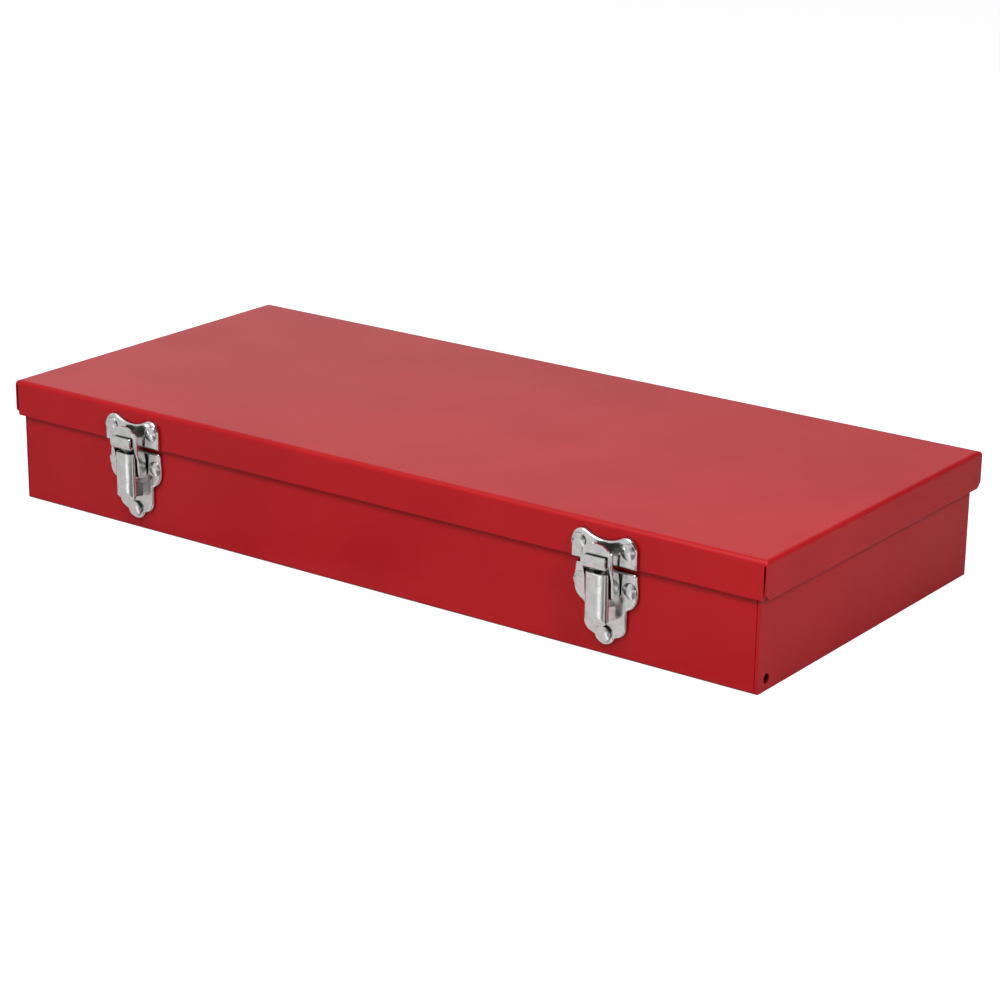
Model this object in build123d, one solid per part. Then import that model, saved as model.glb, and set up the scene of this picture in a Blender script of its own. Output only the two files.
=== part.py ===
from build123d import *
import os
from math import atan2, cos, sin, sqrt, tan

# Flat steel tool case: a folded tray, a folded lid on a long knuckle hinge at the back,
# and two over-centre draw latches on the front. Millimetres. The origin is the centre of
# the tray's bottom face, +X runs along the front, -Y points out of the front, +Z is up.
# On the latches, "out" is the distance out from the tray's front wall, and heights are those
# of a latch whose seam, where its two plates meet, is latch_seam above the resting face.

# ---- tray ----
case_width = 470.0
case_depth = 208.6
case_height = 67.3            # resting face to the top of the lid
sheet = 0.8                   # painted steel sheet of tray and lid
tray_bend = 1.5               # outside radius of the tray's bottom folds
tray_corner = 1.0             # outside radius of the tray's upright corners
rim_gap = 0.3                 # lid's underside above the tray's rim
hem_height = 6.0              # rim folded in and pressed flat
hem_end = 9.0                 # hem stops this far short of the outside corner
hem_round = 0.7
corner_tab_width = 15.0       # side wall's tab, spot welded behind the front and back walls
corner_tab_gap = 2.0          # tab's ends below the hem and above the floor
seam_inset = 1.4              # butt seam where the front wall meets the folded side wall
seam_width = 0.3
seam_depth = 0.35
drain_hole_radius = 2.5       # hole through each side wall near the front
drain_hole_inset = 8.5
drain_hole_height = 6.0

# ---- lid ----
lid_flange = 19.6             # height of the front and side flanges, from the lid's top
lid_front_gap = 1.1           # lid flange in front of the tray's front wall
lid_side_gap = 3.4
lid_front_bend = 2.6          # outside radii of the folds
lid_side_bend = 2.2
corner_slit = 1.0             # open seam between front and side flanges
corner_slit_drop = 2.4        # slit ends this far below the lid's top
flange_corner_cut = 3.0       # side flanges' trimmed lower corners

# ---- hinge ----
hinge_end_gap = 20.0          # from each end of the hinge to the tray's side
hinge_axis_rise = 2.9         # pin above the lid flanges' lower edge
hinge_leaf_stock = 0.9
hinge_play = 0.3              # lid leaf clear of the tray's back wall
knuckle_radius = 2.4
knuckle_count = 19
knuckle_gap = 0.3
hinge_pin_radius = 1.45
running_fit = 0.05            # radial clearance of every pin in its hole
body_leaf_drop = 15.0         # body leaf's far edge below the pin
lid_leaf_gap = 1.1            # lid leaf's far edge below the lid's bend
leaf_clearance = 0.4          # leaf's edge clear of the other leaf's knuckles

# ---- latch plates and rivets ----
latch_inset = 83.8            # from each latch's centre to the tray's side
latch_seam = 47.7             # height of the strike plate's lower edge
plate_stock = 1.0             # the plates are shallow pans, open towards the wall
plate_edge_round = 1.2
shoulder_rivet_spacing = 28.0
strike_width = 37.2
strike_rise = 2.5             # strike plate's face above the lid's flange
strike_height = 15.1
strike_dip = 11.7             # height of the dip between the lobes
strike_lobe_radius = 6.0
strike_rivet_height = 8.6     # above the strike plate's lower edge
strike_dish_radius = 4.6      # shallow round dish above the hook
strike_dish_depth = 0.6
strike_dish_height = 7.0
base_width = 36.4
base_rise = 2.1
base_top = 44.9
base_top_draft = 0.8          # plate is this much narrower on each side at its top
base_shoulder_height = 36.5
base_shoulder_low = 28.6
base_waist = 24.3
base_waist_high = 25.3
base_waist_low = 12.6
base_neck = 11.2              # where the round foot begins
base_neck_height = 9.9
base_foot_radius = 5.9
base_top_round = 1.4          # rounding of the plate's corners, from the top down
base_shoulder_round = 8.0
base_shoulder_low_round = 8.0
base_waist_high_round = 1.6
base_waist_low_round = 6.0
foot_rivet_height = 11.8
shoulder_rivet_height = 36.2
rivet_shank = 1.9
rivet_head_radius = 4.0
rivet_head_height = 1.4
rivet_head_edge = 0.4
foot_head_height = 2.4
foot_head_edge = 1.6
clinch_radius = 2.6
strike_clinch = 0.4           # nearly flush inside the lid's flange
base_clinch = 0.8

# ---- hook on the strike plate ----
latch_stock = 1.2             # steel of the hook, the link and the ears
hook_width = 13.6
hook_reach = 13.3             # outside face of the lip
hook_lip_top = 53.6
hook_floor = 46.6             # lowest point of the strip's middle line
hook_slope = 1.2
hook_root_top = 53.5
hook_root_bend = 3.6
hook_lip_bend = 3.2
hook_corner = 2.4             # round lower corners, seen from the front
hook_lip_corner = 1.2

# ---- lever ----
lever_width = 13.2
lever_stock = 1.0
lever_reach = 11.8            # lever's front face
lever_back = 2.8
lever_pivot_out = 7.9
lever_pivot_height = 39.2
lever_pin_radius = 1.2
lever_top = 44.7              # walls are round about the pivot behind this edge
lever_top_round = 1.2
lever_barrel = 14.0           # radius of the lever's rounded front, seen from above
lever_front_round = 2.8       # corners between the front and the walls
lever_nose_height = 22.8      # the front curls in towards the tip
lever_nose_round = 6.0
lever_tip_out = 8.4
lever_tip_height = 17.8
lever_end_round = 4.8
notch_out = 8.2               # back edge of the walls below the link and above the tip
grip_out = 5.0                # far edge of the flared grips
grip_flare = 1.7
grip_low = 21.2
grip_high = 28.4
lever_edge_round = 0.6
ear_radius = 2.0
ear_low = 35.4
ear_high = 39.9
ear_gap = 2.0                 # between each ear and the lever's wall

# ---- link ----
link_pivot_out = 5.5
link_pivot_height = 33.6
link_boss = 2.6               # arm's round lower end
link_pivot_ear = 2.4          # lever's wall round the link's pivot
link_pin_radius = 1.3
link_pin_past = 0.15          # trunnion stands this far past the lever's wall
link_hook_gap = 0.8           # between each arm and the hook
link_bend = 1.5
link_plate_out = 10.3         # middle of the cross plate
link_seat = 48.6              # lower edge of the cross plate, in the hook
link_shoulder = 54.8
link_crown = 59.4
link_knee_out = 8.5
link_knee_height = 41.0
link_knee_round = 6.0
link_back_out = 3.4
link_back_bend_out = 5.0      # arm's back edge leans forward above this point
link_back_bend_height = 46.8
link_back_top_out = 6.0
link_back_top_height = 54.0
link_back_bend_round = 4.0
link_top_round = 1.2
link_front_edge = 0.8         # plate's lower front edge above the seat
link_front_round = 2.0

# ---- places worked out from the sizes above ----
side = case_width / 2
front = -case_depth / 2
back = case_depth / 2
rim_height = case_height - sheet - rim_gap
lid_edge_height = case_height - lid_flange
lid_side = side + lid_side_gap + sheet
lid_front = front - lid_front_gap - sheet
lid_back = back + hinge_play + hinge_leaf_stock + sheet
lid_flange_out = lid_front_gap + sheet
hinge_length = case_width - 2 * hinge_end_gap
hinge_axis_height = lid_edge_height + hinge_axis_rise
hinge_y = back + hinge_play + knuckle_radius
knuckle_top = hinge_axis_height + knuckle_radius + leaf_clearance
knuckle_bottom = hinge_axis_height - knuckle_radius - leaf_clearance
latch_lift = lid_edge_height - latch_seam
strike_face = lid_flange_out + strike_rise
link_half_inside = hook_width / 2 + link_hook_gap


# ---- shared shapes ----

def block(low, high):
    """A box between two corners."""
    size = [b - a for a, b in zip(low, high)]
    middle = [(a + b) / 2 for a, b in zip(low, high)]
    return Pos(*middle) * Box(*size)


def pair(shape):
    """A shape and its mirror image across the middle plane."""
    return shape + mirror(shape, Plane.YZ)


def outline(points, radii=0):
    return make_face(FilletPolyline(*points, radius=radii, close=True))


def side_outline(points, radii=0):
    """Closed outline in the side view, from (out, height) pairs."""
    return outline([(-out, height) for out, height in points], radii)


def side_disc(out, height, radius):
    return Pos(-out, height) * Circle(radius)


def side_prism(face, low, high):
    """A side view outline, stretched from x = low to x = high."""
    return Pos(low, 0, 0) * extrude(Plane.YZ * face, high - low)


def cross_bar(radius, out, height, low, high):
    """A round bar along X."""
    return Pos((low + high) / 2, -out, height) * Rot(0, 90, 0) * Cylinder(radius, high - low)


def folded_block(half_x, low_y, high_y, low_z, high_z, bend_x, bend_y, folds_at_top):
    """A block whose four edges round its top or bottom face are rounded like folds."""
    radii_x = [0, 0, bend_x, bend_x] if folds_at_top else [bend_x, bend_x, 0, 0]
    radii_y = [0, 0, bend_y, bend_y] if folds_at_top else [bend_y, bend_y, 0, 0]
    front_view = outline(
        [(-half_x, low_z), (half_x, low_z), (half_x, high_z), (-half_x, high_z)], radii_x
    )
    side_view = outline(
        [(low_y, low_z), (high_y, low_z), (high_y, high_z), (low_y, high_z)], radii_y
    )
    along_y = Pos(0, high_y, 0) * extrude(Plane.XZ * front_view, high_y - low_y)
    return along_y & side_prism(side_view, -half_x, half_x)


# ---- tray ----

def body_tray():
    tray = tray_block(0) - tray_block(sheet)
    tray -= rim_trim()
    for turn, half_depth, length in (
        (0, back, case_width), (180, back, case_width),
        (90, side, case_depth), (270, side, case_depth),
    ):
        hem = Pos(0, -half_depth, rim_height) * hem_strip(length - 2 * hem_end)
        tray += Rot(0, 0, turn) * hem
    tray += corner_tabs()
    tray -= corner_seams()
    drain = cross_bar(
        drain_hole_radius, -front - drain_hole_inset, drain_hole_height, -lid_side, lid_side
    )
    return tray - drain - wall_holes(base_rivet_places(), 0)


def tray_block(inset):
    """Outside of the tray, or its hollow at one sheet's inset, open at the rim."""
    bend = tray_bend - inset
    folded = folded_block(
        side - inset, front + inset, back - inset, inset, rim_height + inset, bend, bend, False
    )
    plan = RectangleRounded(
        case_width - 2 * inset, case_depth - 2 * inset, tray_corner - inset
    )
    return folded & extrude(plan, case_height)


def rim_trim():
    """Lowers the bare wall a little where the hem's round top takes over."""
    level = rim_height - hem_round
    ring = block((-lid_side, lid_front, level), (lid_side, lid_back, case_height))
    corners = block((-side + hem_end, lid_front, level), (side - hem_end, lid_back, case_height))
    corners += block((-lid_side, front + hem_end, level), (lid_side, back - hem_end, case_height))
    return ring & corners


def hem_strip(length):
    """Pressed hem along X, its outer face on y = 0 and its top on z = 0."""
    strip = block((-length / 2, 0, -hem_height), (length / 2, 2 * sheet, 0))
    top_edges = strip.faces().sort_by(Axis.Z)[-1].edges().filter_by(Axis.X)
    return fillet(top_edges, hem_round)


def corner_tabs():
    """Each side wall's tabs, folded in behind the front and back walls."""
    low = tray_bend + corner_tab_gap
    high = rim_height - hem_height - corner_tab_gap
    tab = block(
        (side - sheet - corner_tab_width, front + sheet, low),
        (side - sheet, front + 2 * sheet, high),
    )
    free_corners = tab.edges().filter_by(Axis.Y).group_by(Axis.X)[0]
    tab = chamfer(free_corners, corner_tab_gap)
    return pair(tab + mirror(tab, Plane.XZ))


def corner_seams():
    """Thin grooves where the front and back walls end beside the folded side walls."""
    seam = block(
        (side - seam_inset - seam_width / 2, front - seam_depth, tray_bend),
        (side - seam_inset + seam_width / 2, front + seam_depth, case_height),
    )
    return pair(seam + mirror(seam, Plane.XZ))


# ---- lid ----

def lid():
    shell = lid_block(0) - lid_block(sheet)
    for x_sign in (-1, 1):
        for y_middle in (lid_front + sheet / 2, lid_back - sheet / 2):
            shell -= Pos(x_sign * slit_middle(), y_middle, 0) * slit_tool()
        for y_face in (lid_front, lid_back):
            shell -= Pos(x_sign * lid_side, y_face, lid_edge_height) * corner_trim()
    shell -= block(
        (-slit_middle(), lid_back - 2 * sheet, 0), (slit_middle(), lid_back + sheet, knuckle_top)
    )
    return shell - wall_holes(strike_rivet_places(), lid_flange_out)


def lid_block(inset):
    return folded_block(
        lid_side - inset, lid_front + inset, lid_back - inset, lid_edge_height - inset,
        case_height - inset, lid_side_bend - inset, lid_front_bend - inset, True,
    )


def slit_middle():
    return lid_side - sheet - corner_slit / 2


def slit_tool():
    """Upright slot with a round upper end, through one sheet."""
    radius = corner_slit / 2
    top = case_height - corner_slit_drop - radius
    slot = block((-radius, -sheet, 0), (radius, sheet, top))
    return slot + Pos(0, 0, top) * Rot(90, 0, 0) * Cylinder(radius, 2 * sheet)


def corner_trim():
    """Prism that trims a side flange's lower corner at 45 degrees."""
    diagonal = flange_corner_cut * sqrt(2)
    return Rot(45, 0, 0) * Box(3 * sheet, diagonal, diagonal)


# ---- hinge ----

def knuckle_spans(first):
    """X spans of one leaf's knuckles: every second one, from the first index."""
    pitch = hinge_length / knuckle_count
    for index in range(first, knuckle_count, 2):
        low = -hinge_length / 2 + index * pitch
        yield low + knuckle_gap / 2, low + pitch - knuckle_gap / 2


def rolled_leaf(first, leaf_y, near_edge, far_edge):
    """A flat strip whose near edge is rolled into knuckles round the pin."""
    half = hinge_length / 2
    far_y = leaf_y + hinge_leaf_stock
    leaf = block((-half, leaf_y, min(near_edge, far_edge)), (half, far_y, max(near_edge, far_edge)))
    roll = side_disc(-hinge_y, hinge_axis_height, knuckle_radius)
    root_low = min(near_edge, hinge_axis_height)
    root_high = max(near_edge, hinge_axis_height)
    for low, high in knuckle_spans(first):
        leaf += side_prism(roll, low, high)
        leaf += block((low, leaf_y, root_low), (high, far_y, root_high))
    bore_radius = hinge_pin_radius + running_fit
    bore_end = half + knuckle_gap
    return leaf - cross_bar(bore_radius, -hinge_y, hinge_axis_height, -bore_end, bore_end)


def hinge_body_leaf():
    return rolled_leaf(0, back, knuckle_bottom, hinge_axis_height - body_leaf_drop)


def hinge_lid_leaf():
    far_edge = case_height - lid_front_bend - lid_leaf_gap
    return rolled_leaf(1, back + hinge_play, knuckle_top, far_edge)


def hinge_pin():
    half = hinge_length / 2
    return cross_bar(hinge_pin_radius, -hinge_y, hinge_axis_height, -half, half)


# ---- rivets ----

def shoulder_rivets(height):
    return [(-shoulder_rivet_spacing / 2, height), (shoulder_rivet_spacing / 2, height)]


def strike_rivet_places():
    return shoulder_rivets(latch_seam + strike_rivet_height)


def base_rivet_places():
    return shoulder_rivets(shoulder_rivet_height) + [(0, foot_rivet_height)]


def front_holes(places, radius):
    """Round holes along Y through anything in front of the tray's cavity."""
    depth = 4 * strike_face
    drill = Rot(90, 0, 0) * Cylinder(radius, depth)
    return [Pos(x, 0, height) * drill for x, height in places]


def wall_holes(places, face_out):
    """Rivet holes of both latches in the sheet behind the wall's face."""
    holes = []
    for centre in latch_centres():
        for hole in front_holes(places, rivet_shank):
            holes.append(Pos(centre, front - face_out, latch_lift) * hole)
    return holes


def rivet(head_height, head_edge, grip, clinch):
    """Domed rivet along Z: plate face at z = 0, head above, clinched end below."""
    dome_height = head_height - head_edge
    dome_radius = (rivet_head_radius ** 2 + dome_height ** 2) / (2 * dome_height)
    head = Pos(0, 0, head_height / 2) * Cylinder(rivet_head_radius, head_height)
    head &= Pos(0, 0, head_height - dome_radius) * Sphere(dome_radius)
    shank = Pos(0, 0, -grip / 2) * Cylinder(rivet_shank, grip)
    return head + shank + Pos(0, 0, -grip - clinch / 2) * Cylinder(clinch_radius, clinch)


def set_rivets(places, face_out, one_rivet):
    """Rivets through the front wall at (x, height) places, as separate solids."""
    return [Pos(x, -face_out, height) * Rot(90, 0, 0) * one_rivet for x, height in places]


def strike_rivets():
    one = rivet(rivet_head_height, rivet_head_edge, strike_rise + sheet, strike_clinch)
    return set_rivets(strike_rivet_places(), strike_face, one)


def base_rivets():
    one = rivet(rivet_head_height, rivet_head_edge, base_rise + sheet, base_clinch)
    return set_rivets(shoulder_rivets(shoulder_rivet_height), base_rise, one)


def foot_rivet():
    one = rivet(foot_head_height, foot_head_edge, base_rise + sheet, base_clinch)
    return set_rivets([(0, foot_rivet_height)], base_rise, one)


# ---- latch plates ----

def pan(face, foot_out, rise):
    """A shallow pan on the wall: its outline in the front view, raised, its rim rounded."""
    plate = extrude(Plane.XZ * face, rise)
    plate = fillet(plate.faces().sort_by(Axis.Y)[0].edges(), plate_edge_round)
    plate -= extrude(Plane.XZ * offset(face, -plate_stock), rise - plate_stock)
    return Pos(0, -foot_out, 0) * plate


def strike_outline():
    """Straight foot, two round lobes, and a round dip that touches both lobes."""
    half = strike_width / 2
    lobe_x = half - strike_lobe_radius
    lobe_z = latch_seam + strike_height - strike_lobe_radius
    dip_z = latch_seam + strike_dip
    rise = dip_z - lobe_z
    dip_radius = (lobe_x ** 2 + rise ** 2 - strike_lobe_radius ** 2) / (
        2 * (strike_lobe_radius - rise)
    )
    share = strike_lobe_radius / (strike_lobe_radius + dip_radius)
    meet_x = lobe_x * (1 - share)
    meet_z = lobe_z + (rise + dip_radius) * share
    face = outline([(-half, latch_seam), (half, latch_seam), (half, lobe_z), (-half, lobe_z)])
    face += outline([(-lobe_x, lobe_z), (lobe_x, lobe_z), (meet_x, meet_z), (-meet_x, meet_z)])
    face += [Pos(x, lobe_z) * Circle(strike_lobe_radius) for x in (-lobe_x, lobe_x)]
    return face - Pos(0, dip_z + dip_radius) * Circle(dip_radius)


def hook():
    """J-shaped strip out of the strike plate, turned up at its end."""
    half = hook_width / 2
    bottom = hook_floor - latch_stock / 2
    root_out = strike_face - latch_stock / 2
    lip_out = hook_reach - latch_stock / 2
    path = FilletPolyline(
        (-root_out, hook_root_top),
        (-root_out, hook_floor + hook_slope),
        (-lip_out, hook_floor),
        (-lip_out, hook_lip_top),
        radius=[hook_root_bend, hook_lip_bend],
    )
    front_view = outline(
        [(-half, bottom), (half, bottom), (half, hook_lip_top), (-half, hook_lip_top)],
        [hook_corner, hook_corner, hook_lip_corner, hook_lip_corner],
    )
    strip = side_prism(trace(path, latch_stock), -half, half)
    return strip & extrude(Plane.XZ * front_view, case_height)


def strike_dish():
    """Ball that presses the shallow round dish above the hook."""
    ball = (strike_dish_radius ** 2 + strike_dish_depth ** 2) / (2 * strike_dish_depth)
    out = strike_face - strike_dish_depth + ball
    return Pos(0, -out, latch_seam + strike_dish_height) * Sphere(ball)


def strike_plate():
    plate = pan(strike_outline(), lid_flange_out, strike_rise)
    plate -= strike_dish()
    plate += hook()
    return plate - front_holes(strike_rivet_places(), rivet_shank)


def base_outline():
    """Wide shoulders for two rivets, a waist, and a round foot for the third."""
    half = base_width / 2
    corners = [
        (half - base_top_draft, base_top), (half, base_shoulder_height),
        (half, base_shoulder_low), (base_waist / 2, base_waist_high),
        (base_waist / 2, base_waist_low), (base_neck / 2, base_neck_height),
    ]
    rounds = [
        base_top_round, base_shoulder_round, base_shoulder_low_round,
        base_waist_high_round, base_waist_low_round, 0,
    ]
    other_side = [(-x, height) for x, height in reversed(corners)]
    plate = outline(corners + other_side, rounds + rounds[::-1])
    return plate + Pos(0, foot_rivet_height) * Circle(base_foot_radius)


def base_plate():
    """Plate on the tray's front wall, with two upright ears for the lever's pin."""
    plate = pan(base_outline(), 0, base_rise)
    root = base_rise - plate_stock / 2
    ear = side_outline([
        (root, ear_low), (root, ear_high),
        (lever_pivot_out, lever_pivot_height + ear_radius),
        (lever_pivot_out, lever_pivot_height - ear_radius),
    ])
    ear += side_disc(lever_pivot_out, lever_pivot_height, ear_radius)
    ear_face = lever_width / 2 - lever_stock - ear_gap
    plate += pair(side_prism(ear, ear_face - latch_stock, ear_face))
    plate -= cross_bar(lever_pin_radius, lever_pivot_out, lever_pivot_height, -side, side)
    return plate - front_holes(base_rivet_places(), rivet_shank)


# ---- lever and link ----

def lever_block(inset):
    """Outside of the lever's channel, or its hollow at one stock's inset."""
    half = lever_width / 2 - inset
    reach = lever_reach - inset
    lean = atan2(lever_reach - lever_tip_out, lever_nose_height - lever_tip_height)
    nose = lever_nose_height + inset * tan(lean / 2)
    tip_out = lever_tip_out - inset * cos(lean)
    tip_height = lever_tip_height + inset * sin(lean)
    far = case_height
    side_view = side_outline(
        [(-far, far), (reach, far), (reach, nose), (tip_out, tip_height), (-far, tip_height)],
        [0, 0, lever_nose_round - inset, 0, 0],
    )
    barrel_middle = lever_barrel - lever_reach
    plan = outline([(-half, -reach), (half, -reach), (half, barrel_middle), (-half, barrel_middle)])
    plan &= Pos(0, barrel_middle) * Circle(lever_barrel - inset)
    plan = fillet(plan.vertices().group_by(Axis.Y)[0], lever_front_round - inset)
    plan += outline([(-half, barrel_middle), (half, barrel_middle), (half, far), (-half, far)])
    front_view = outline(
        [(-half, far), (-half, tip_height), (half, tip_height), (half, far)],
        [0, lever_end_round - inset, lever_end_round - inset, 0],
    )
    lever = side_prism(side_view, -half, half) & extrude(plan, far)
    return lever & Pos(0, far, 0) * extrude(Plane.XZ * front_view, 2 * far)


def lever_walls():
    """Side view of what is left of the channel: its top, the link's ear and a narrow tip."""
    ear_low_edge = link_pivot_height - link_pivot_ear
    walls = side_outline(
        [
            (lever_back, lever_pivot_height), (lever_pivot_out, lever_pivot_height),
            (lever_pivot_out, lever_top), (lever_reach, lever_top), (lever_reach, 0),
            (notch_out, 0), (notch_out, ear_low_edge), (lever_back, ear_low_edge),
        ],
        [0, 0, 0, lever_top_round, 0, 0, lever_edge_round, link_pivot_ear],
    )
    return walls + side_disc(lever_pivot_out, lever_pivot_height, lever_top - lever_pivot_height)


def lever_grip():
    """Flared finger grip on one side: a tongue of the wall, bent outwards."""
    root = notch_out + lever_stock / 2
    middle = (lever_width - lever_stock) / 2
    path = FilletPolyline(
        (middle, -root), (middle, -notch_out), (middle + grip_flare, -grip_out),
        radius=[lever_edge_round],
    )
    tongue = extrude(trace(path, lever_stock), case_height)
    far_out = grip_out - lever_stock
    side_view = side_outline(
        [(root, grip_low), (far_out, grip_low), (far_out, grip_high), (root, grip_high)],
        [0, grip_flare, grip_flare, 0],
    )
    return tongue & side_prism(side_view, 0, lever_width)


def lever():
    """Stamped channel, round at the front, with flared finger grips near its tip."""
    half = lever_width / 2
    channel = lever_block(0) - lever_block(lever_stock)
    channel &= side_prism(lever_walls(), -half, half)
    channel += pair(lever_grip())
    pin_hole = lever_pin_radius + running_fit
    channel -= cross_bar(pin_hole, lever_pivot_out, lever_pivot_height, -side, side)
    link_hole = link_pin_radius + running_fit
    return channel - cross_bar(link_hole, link_pivot_out, link_pivot_height, -side, side)


def lever_pin():
    half = lever_width / 2
    return cross_bar(lever_pin_radius, lever_pivot_out, lever_pivot_height, -half, half)


def draw_link():
    """Stamped stirrup: an arched cross plate in the hook and two arms to the lever."""
    half = link_half_inside + latch_stock / 2
    bent = FilletPolyline(
        (-half, 0), (-half, -link_plate_out), (half, -link_plate_out), (half, 0),
        radius=[link_bend, link_bend],
    )
    link = extrude(trace(bent, latch_stock), case_height)
    link &= side_prism(link_side_view(), -2 * half, 2 * half)
    link &= arch_tool()
    link -= block((-link_half_inside, front, 0), (link_half_inside, 0, link_seat))
    inner = lever_width / 2 - lever_stock - link_pin_past
    trunnion = cross_bar(
        link_pin_radius, link_pivot_out, link_pivot_height, inner, link_half_inside + latch_stock / 2
    )
    return link + pair(trunnion)


def link_side_view():
    plate_front = link_plate_out + latch_stock / 2
    plate_back = link_plate_out - latch_stock / 2
    view = side_outline(
        [
            (plate_front, case_height), (plate_front, link_seat + link_front_edge),
            (link_knee_out, link_knee_height), (link_pivot_out + link_boss, link_pivot_height),
            (link_pivot_out - link_boss, link_pivot_height), (link_back_out, link_knee_height),
            (link_back_bend_out, link_back_bend_height), (link_back_top_out, link_back_top_height),
            (plate_back, link_shoulder), (plate_back, case_height),
        ],
        [
            0, link_front_round, link_knee_round, 0, 0,
            link_knee_round, link_back_bend_round, link_top_round, 0, 0,
        ],
    )
    return view + side_disc(link_pivot_out, link_pivot_height, link_boss)


def arch_tool():
    """Front view of the cross plate's arched top."""
    half = link_half_inside + latch_stock
    arch = make_face(Curve() + [
        ThreePointArc((-half, link_shoulder), (0, link_crown), (half, link_shoulder)),
        Polyline((half, link_shoulder), (half, 0), (-half, 0), (-half, link_shoulder)),
    ])
    return extrude(Plane.XZ * arch, case_depth)


# ---- the whole case ----

def latch_centres():
    return (latch_inset - side, side - latch_inset)


def build_parts():
    """Every node of the case: its name and its solids."""
    parts = {
        "body_tray": [body_tray()],
        "lid": [lid()],
        "hinge_body_leaf": [hinge_body_leaf()],
        "hinge_lid_leaf": [hinge_lid_leaf()],
        "hinge_pin": [hinge_pin()],
    }
    latch = {
        "strike_plate": [strike_plate()],
        "strike_rivets": strike_rivets(),
        "base_plate": [base_plate()],
        "base_rivets": base_rivets(),
        "foot_rivet": foot_rivet(),
        "lever": [lever()],
        "lever_pin": [lever_pin()],
        "draw_link": [draw_link()],
    }
    for side_name, centre in zip(("left", "right"), latch_centres()):
        for name, solids in latch.items():
            placed = [Pos(centre, front, latch_lift) * solid for solid in solids]
            parts[side_name + "_" + name] = placed
    return parts


def write_parts():
    os.makedirs("parts", exist_ok=True)
    for name, solids in build_parts().items():
        bodies = [body for shape in solids for body in shape.solids()]
        shape = bodies[0] if len(bodies) == 1 else Compound(children=bodies)
        export_step(shape, os.path.join("parts", name + ".step"))


write_parts()
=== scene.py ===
from math import atan2, cos, degrees, radians, sin

import bmesh
import bpy
from mathutils import Matrix, Vector


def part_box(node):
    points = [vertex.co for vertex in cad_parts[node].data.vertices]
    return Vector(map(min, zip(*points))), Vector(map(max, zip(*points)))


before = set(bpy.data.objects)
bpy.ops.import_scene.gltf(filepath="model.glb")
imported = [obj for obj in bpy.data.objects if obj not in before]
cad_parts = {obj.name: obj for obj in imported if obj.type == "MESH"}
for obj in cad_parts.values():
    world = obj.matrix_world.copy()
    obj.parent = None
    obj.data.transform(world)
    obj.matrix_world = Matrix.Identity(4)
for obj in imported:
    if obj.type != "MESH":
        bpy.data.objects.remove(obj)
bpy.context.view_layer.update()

# ---- tray ----
# The tray is folded from 0.8 mm steel sheet, its wall tabs spot welded behind the front and
# back walls and its rim pressed into a flat hem. After welding the whole tray was hung on
# hooks and powder coated, so the paint covers it inside and out with a fine orange peel.

MM = 0.001
openness_samples = 8


class Signal:
    """One value or colour running through a material. Arithmetic on it adds Math nodes."""

    def __init__(self, tree, socket=None):
        self.tree = tree
        self.socket = socket

    def node(self, kind, settings=None, inputs=None, output=0):
        """Adds a node: first its settings, then the values or links of its sockets."""
        made = self.tree.nodes.new(kind)
        for name, value in (settings or {}).items():
            setattr(made, name, value)
        for name, value in (inputs or {}).items():
            if isinstance(value, Signal):
                self.tree.links.new(value.socket, made.inputs[name])
            else:
                made.inputs[name].default_value = value
        return Signal(self.tree, made.outputs[output] if made.outputs else None)

    def math(self, operation, *values):
        return self.node("ShaderNodeMath", {"operation": operation}, dict(enumerate(values)))

    def __add__(self, other):
        return self.math("ADD", self, other)

    __radd__ = __add__

    def __sub__(self, other):
        return self.math("SUBTRACT", self, other)

    def __rsub__(self, other):
        return self.math("SUBTRACT", other, self)

    def __mul__(self, other):
        return self.math("MULTIPLY", self, other)

    __rmul__ = __mul__

    def step(self, low, high):
        """0 below low and 1 above high, with a soft change between them."""
        settings = {"interpolation_type": "SMOOTHSTEP"}
        sockets = {"Value": self, "From Min": low, "From Max": high}
        return self.node("ShaderNodeMapRange", settings, sockets)

    def noise(self, grain, detail):
        """Noise over the piece, one grain this many metres wide."""
        place = self.node("ShaderNodeTexCoord", output="Object")
        sockets = {"Vector": place, "Scale": 1 / grain, "Detail": detail}
        return self.node("ShaderNodeTexNoise", inputs=sockets)

    def openness(self, reach):
        """1 on open surfaces, falling to 0 in gaps that are narrower than this reach."""
        settings = {"samples": openness_samples}
        return self.node("ShaderNodeAmbientOcclusion", settings, {"Distance": reach}, "AO")

    def blend(self, first, second):
        """Colour that changes from first to second where this signal is 1."""
        # The node's colour sockets have the names of its number sockets, so they go by place.
        sockets = {0: self, 6: first, 7: second}
        return self.node("ShaderNodeMix", {"data_type": "RGBA"}, sockets, output=2)


screen_full = 255
screen_gamma = 2.2


def screen_colour(*levels):
    """A colour given as red, green and blue on a screen, as linear light."""
    return (*((level / screen_full) ** screen_gamma for level in levels), 1.0)


def new_material(name):
    """An empty material, and the signal that its nodes start from."""
    material = bpy.data.materials.new(name)
    material.use_nodes = True
    material.node_tree.nodes.clear()
    return material, Signal(material.node_tree)


def finish_material(signal, sockets):
    """Ends a material in one shader, its sockets set or linked to these."""
    shader = signal.node("ShaderNodeBsdfPrincipled", inputs=sockets)
    signal.node("ShaderNodeOutputMaterial", inputs={"Surface": shader})


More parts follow.
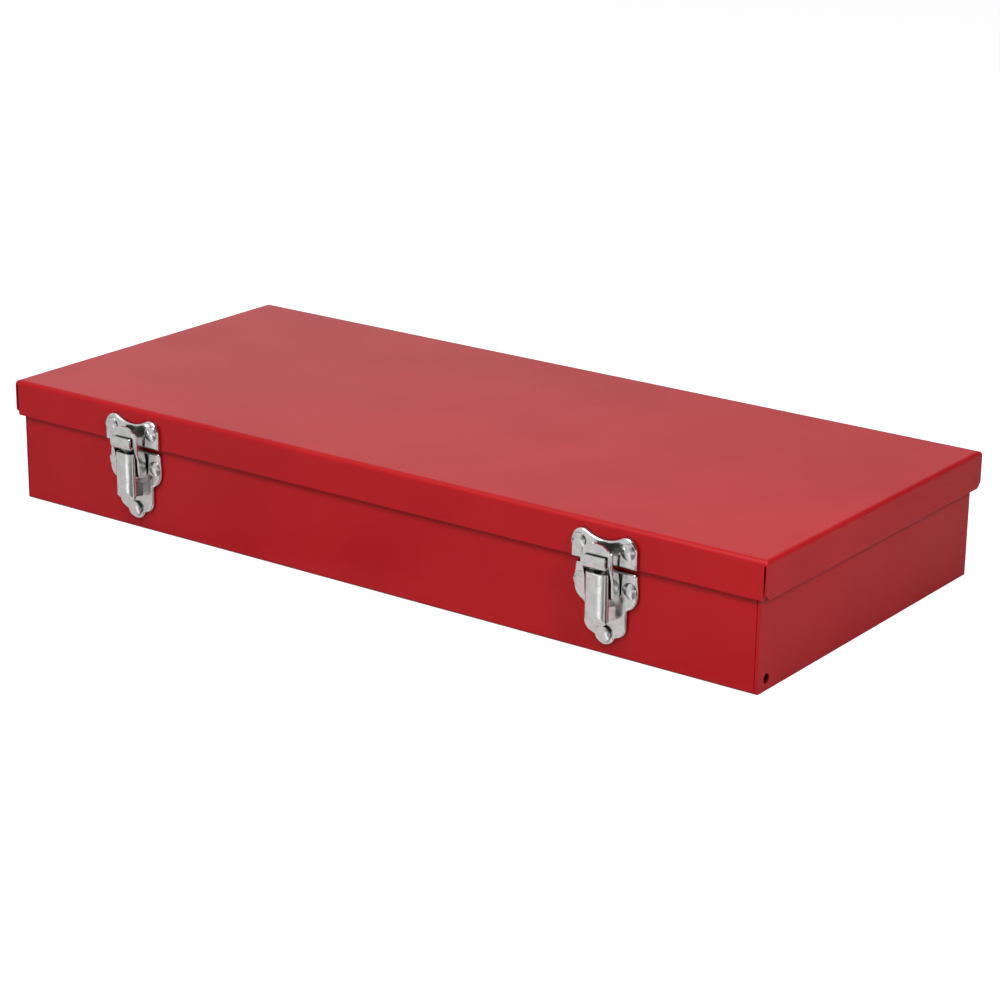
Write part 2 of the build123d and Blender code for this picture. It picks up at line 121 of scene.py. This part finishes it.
paint_red = screen_colour(175, 28, 34)
paint_red_deep = screen_colour(169, 25, 31)
# The seam colour is painted shade: a dark red laid into seams and under the lid's edge, where
# shade falls.
painted_seam_shade = screen_colour(105, 15, 20)     # in seams and under the lid's edge
paint_gloss = 0.18                          # specular level
paint_roughness = 0.38
cloud_grain = 60.0 * MM                     # slow change of shade across a whole face
cloud_limits = (0.35, 0.65)
cloud_roughness = 0.04
peel_grain = 1.3 * MM
peel_height = 0.006 * MM
speck_grain = 0.5 * MM                      # raised specks of dust in the coat
speck_limits = (0.70, 0.78)
speck_height = 0.6                          # of the peel's height
speck_roughness = 0.1
seam_shade_reach = 2.5 * MM
seam_shade_limits = (0.2, 0.85)


def powder_coat():
    material, paint = new_material("powder_coat")
    peel = paint.noise(peel_grain, detail=1.0)
    cloud = paint.noise(cloud_grain, detail=3.0)
    speck = paint.noise(speck_grain, detail=0.0).step(*speck_limits)
    # Painted shade: the red darkens where other surfaces come close, in seams and under the
    # lid's edge.
    unshaded_part = paint.openness(seam_shade_reach).step(*seam_shade_limits)
    coat = cloud.step(*cloud_limits).blend(paint_red, paint_red_deep)
    height = peel + speck * speck_height
    bump_sockets = {"Height": height, "Strength": 1.0, "Distance": peel_height}
    finish_material(paint, {
        "Base Color": unshaded_part.blend(painted_seam_shade, coat),
        "Roughness": paint_roughness + cloud_roughness * cloud + speck_roughness * speck,
        "Specular IOR Level": paint_gloss,
        "Normal": paint.node("ShaderNodeBump", inputs=bump_sockets),
    })
    return material


def dress(names, material):
    """Gives CAD nodes one material all over."""
    for name in names:
        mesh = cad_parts[name].data
        mesh.materials.clear()
        mesh.materials.append(material)


red_paint = powder_coat()
dress(["body_tray"], red_paint)

# ---- lid ----
# The lid is one sheet folded down on all four sides, its corners left open as narrow slits.
# It is powder coated with the tray, in the same red.

dress(["lid"], red_paint)

# ---- hinge ----
# Two strips of steel with rolled knuckles on one long wire. The leaves are welded on and
# painted with the case, and the wire's ends stay bare.

wire_grey = (0.5, 0.49, 0.48, 1.0)
wire_roughness = 0.3
wire_scuff_grain = 2.0 * MM
wire_scuff_roughness = 0.2


def pin_wire():
    material, wire = new_material("pin_wire")
    scuffs = wire.noise(wire_scuff_grain, detail=2.0)
    finish_material(wire, {
        "Base Color": wire_grey,
        "Metallic": 1.0,
        "Roughness": wire_roughness + wire_scuff_roughness * scuffs,
    })
    return material


dress(["hinge_body_leaf", "hinge_lid_leaf"], red_paint)
dress(["hinge_pin"], pin_wire())

# ---- latches ----
# Strike plates, base plates, levers and links are stamped from bright steel strip and barrel
# plated with nickel. The plates are fixed by domed rivets of the same finish.

latch_parts = (
    "strike_plate", "strike_rivets", "base_plate", "base_rivets", "foot_rivet",
    "lever", "lever_pin", "draw_link",
)
plating_light = (0.79, 0.787, 0.783, 1.0)
plating_cloudy = (0.69, 0.687, 0.683, 1.0)
plating_pitted = (0.5, 0.495, 0.49, 1.0)
plating_roughness = 0.15
haze_grain = 3.0 * MM                       # cloudy patches left by the barrel
haze_limits = (0.4, 0.65)
haze_roughness = 0.07
ripple_grain = 2.6 * MM
ripple_height = 0.05 * MM
pit_grain = 0.5 * MM
pit_limits = (0.68, 0.78)
pit_depth = 0.15                            # of the ripple's height
pit_roughness = 0.1
# Painted shade: a near black laid into crevices and where parts come close together.
painted_crevice_shade = (0.05, 0.045, 0.045, 1.0)
crevice_shade_reach = 1.5 * MM
crevice_shade_limits = (0.25, 0.95)


def bright_plating():
    material, plate = new_material("bright_plating")
    haze = plate.noise(haze_grain, detail=3.0)
    pits = plate.noise(pit_grain, detail=2.0).step(*pit_limits)
    ripple = plate.noise(ripple_grain, detail=1.0)
    # Painted shade in crevices and between parts, found from how close other surfaces are.
    unshaded_part = plate.openness(crevice_shade_reach).step(*crevice_shade_limits)
    hazy_metal = haze.step(*haze_limits).blend(plating_light, plating_cloudy)
    metal = pits.blend(hazy_metal, plating_pitted)
    height = ripple - pit_depth * pits
    bump_sockets = {"Height": height, "Strength": 1.0, "Distance": ripple_height}
    finish_material(plate, {
        "Base Color": unshaded_part.blend(painted_crevice_shade, metal),
        "Metallic": 1.0,
        "Roughness": plating_roughness + haze_roughness * haze + pit_roughness * pits,
        "Normal": plate.node("ShaderNodeBump", inputs=bump_sockets),
    })
    return material


plating = bright_plating()
for side_name in ("left", "right"):
    dress([side_name + "_" + part for part in latch_parts], plating)

# ---- camera ----
# A long lens off the case's right front corner, looking a little down on it. It stands where
# the photograph was taken from, with the small roll that the photograph has.

camera_azimuth = radians(35.88)             # to the right of straight in front
camera_elevation = radians(18.54)
camera_roll = radians(0.69)
camera_distance = 1.4307
camera_aim = Vector((0.0492, -0.0511, 0.0430))
camera_lens = 101.39
sensor_width = 36.0
nearest_seen = 0.01
towards_camera = Vector((
    sin(camera_azimuth) * cos(camera_elevation),
    -cos(camera_azimuth) * cos(camera_elevation),
    sin(camera_elevation),
))
camera_place = camera_aim + towards_camera * camera_distance


def place_camera():
    camera = bpy.data.cameras.new("camera")
    camera.lens = camera_lens
    camera.sensor_width = sensor_width
    camera.clip_start = nearest_seen
    level = Vector((cos(camera_azimuth), sin(camera_azimuth), 0))
    upright = towards_camera.cross(level)
    right = level * cos(camera_roll) + upright * sin(camera_roll)
    turn = Matrix((right, towards_camera.cross(right), towards_camera)).transposed()
    holder = bpy.data.objects.new("camera", camera)
    holder.matrix_world = Matrix.Translation(camera_place) @ turn.to_4x4()
    bpy.context.scene.collection.objects.link(holder)
    bpy.context.scene.camera = holder


place_camera()

# ---- studio ----
# A plain white floor in a pale room. A wide lamp hangs high in front, a small one off the
# right end and a weak one behind on the left. Cards on the floor in front of each latch,
# which only show as reflections, give its plating the light and dark fields of the photograph.

white = (1.0, 1.0, 1.0, 1.0)
floor_grey = (0.5, 0.5, 0.5, 1.0)
floor_size = 8.0
floor_drop = 0.2 * MM                       # floor below the tray's bottom
floor_glow_seen = 0.8
floor_glow_mirrored = 0.1


def ray_kinds(signal):
    """1 for rays that come straight from the camera, and 1 for rays off a gloss."""
    seen = signal.node("ShaderNodeLightPath", output="Is Camera Ray")
    mirrored = signal.node("ShaderNodeLightPath", output="Is Glossy Ray")
    return seen, mirrored


def floor_material():
    material, ground = new_material("studio_floor")
    seen, mirrored = ray_kinds(ground)
    glow = floor_glow_seen * seen + floor_glow_mirrored * mirrored
    matt = ground.node("ShaderNodeBsdfDiffuse", inputs={"Color": floor_grey})
    lit = ground.node("ShaderNodeEmission", inputs={"Color": white, "Strength": glow})
    both = ground.node("ShaderNodeAddShader", inputs={0: matt, 1: lit})
    ground.node("ShaderNodeOutputMaterial", inputs={"Surface": both})
    return material


def card_material(name, brightness):
    material, card = new_material(name)
    glow = card.node("ShaderNodeEmission", inputs={"Color": white, "Strength": brightness})
    card.node("ShaderNodeOutputMaterial", inputs={"Surface": glow})
    return material


def lay_flat(name, corners, height, material):
    """One level face of the studio, with these corners."""
    mesh = bpy.data.meshes.new(name)
    shape = bmesh.new()
    shape.faces.new([shape.verts.new((x, y, height)) for x, y in corners])
    shape.to_mesh(mesh)
    shape.free()
    mesh.materials.append(material)
    holder = bpy.data.objects.new(name, mesh)
    bpy.context.scene.collection.objects.link(holder)
    return holder


def lay_floor():
    half = floor_size / 2
    corners = [(-half, -half), (half, -half), (half, half), (-half, half)]
    lay_flat("floor", corners, -floor_drop, floor_material())


lay_floor()

# The room's brightness by direction, as shiny surfaces see it. It is darker to the right,
# brightest low down at the back on the left, and plain for every other ray.
room_light = 0.3
room_seen = 1.0
sky_front = 0.65
sky_back_gain = 0.38
back_limits = (0.2, 0.6)
back_glow_end = (-0.62, -0.38)
dark_side_loss = 0.9
dark_side_limits = (-0.3, 0.2)


def light_room():
    world = bpy.data.worlds.new("pale_room")
    world.use_nodes = True
    world.node_tree.nodes.clear()
    room = Signal(world.node_tree)
    seen, mirrored = ray_kinds(room)
    direction = room.node("ShaderNodeTexCoord", output="Generated")
    to_right = room.node("ShaderNodeSeparateXYZ", inputs={0: direction}, output="X")
    to_back = room.node("ShaderNodeSeparateXYZ", inputs={0: direction}, output="Y")
    open_side = 1 - dark_side_loss * to_right.step(*dark_side_limits)
    back_glow = to_back.step(*back_limits) * (1 - to_right.step(*back_glow_end))
    sky = (sky_front + sky_back_gain * back_glow) * open_side
    strength = room_light + (room_seen - room_light) * seen + (sky - room_light) * mirrored
    background = room.node("ShaderNodeBackground", inputs={"Color": white, "Strength": strength})
    room.node("ShaderNodeOutputWorld", inputs={"Surface": background})
    bpy.context.scene.world = world


light_room()

# Angles are in degrees and reaches in metres. A mirror turned by some angle about the upright
# sends the camera's ray off at twice that angle less the view angle, so the plates' flat faces
# show what lies at minus the view angle. Inside corners send rays straight back at the view
# angle, and the cards leave a gap there.
cards_to_wall = 1.7 * MM
foot_shift = 6.0 * MM                       # cards' point, to the right of the latch's middle
dark_foot_shift = 20.0 * MM
white_card_span = (19.0, 30.0)              # angles past minus the view angle
white_card_reach = 0.2
white_card_glow = 1.25
grey_card_start = 34.0                      # past minus the view angle
grey_card_end = 7.0                         # short of the view angle
grey_card_reach = 0.15
grey_card_glow = 0.2
dark_card_start = 8.0                       # past the view angle
dark_card_end = 80.0
dark_card_reach = 0.14
dark_card_glow = 0.04


def wedge(apex, first_angle, last_angle, reach):
    """Corners of a card that spreads out from a point, its angles taken from the front."""
    corners = [apex]
    for angle in (first_angle, (first_angle + last_angle) / 2, last_angle):
        across = reach * sin(radians(angle))
        forward = reach * cos(radians(angle))
        corners.append((apex[0] + across, apex[1] - forward))
    return corners


def lay_card(name, corners, brightness):
    """A card on the floor that shows in reflections alone."""
    card = lay_flat(name, corners, -floor_drop / 2, card_material(name, brightness))
    card.visible_camera = False
    card.visible_diffuse = False
    card.visible_shadow = False


def lay_latch_cards(side):
    lever_low, lever_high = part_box(side + "_lever")
    latch_x = (lever_low.x + lever_high.x) / 2
    cards_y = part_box("body_tray")[0].y - cards_to_wall
    view = degrees(atan2(camera_place.x - latch_x, cards_y - camera_place.y))
    foot = (latch_x + foot_shift, cards_y)
    dark_foot = (latch_x + dark_foot_shift, cards_y)
    white_start, white_end = (angle - view for angle in white_card_span)
    white_corners = wedge(foot, white_start, white_end, white_card_reach)
    grey_corners = wedge(foot, grey_card_start - view, view - grey_card_end, grey_card_reach)
    dark_corners = wedge(dark_foot, view + dark_card_start, dark_card_end, dark_card_reach)
    lay_card(side + "_white_card", white_corners, white_card_glow)
    lay_card(side + "_grey_card", grey_corners, grey_card_glow)
    lay_card(side + "_dark_card", dark_corners, dark_card_glow)


def hang_lamp(name, place, width, power, in_mirrors):
    """A square lamp aimed at the middle of the tray's bottom."""
    lamp = bpy.data.lights.new(name, "AREA")
    lamp.shape = "SQUARE"
    lamp.size = width
    lamp.energy = power
    holder = bpy.data.objects.new(name, lamp)
    holder.location = place
    holder.rotation_euler = (-Vector(place)).to_track_quat("-Z", "Y").to_euler()
    holder.visible_camera = False
    holder.visible_glossy = in_mirrors
    bpy.context.scene.collection.objects.link(holder)


for latch_side in ("left", "right"):
    lay_latch_cards(latch_side)
hang_lamp("key_lamp", place=(-0.1, -0.88, 1.25), width=0.8, power=15.7, in_mirrors=True)
hang_lamp("near_lamp", place=(0.76, -0.38, 0.55), width=0.12, power=3.5, in_mirrors=False)
hang_lamp("back_lamp", place=(-0.9, 1.0, 0.3), width=0.4, power=4.0, in_mirrors=False)
bpy.context.scene.view_settings.view_transform = "Standard"
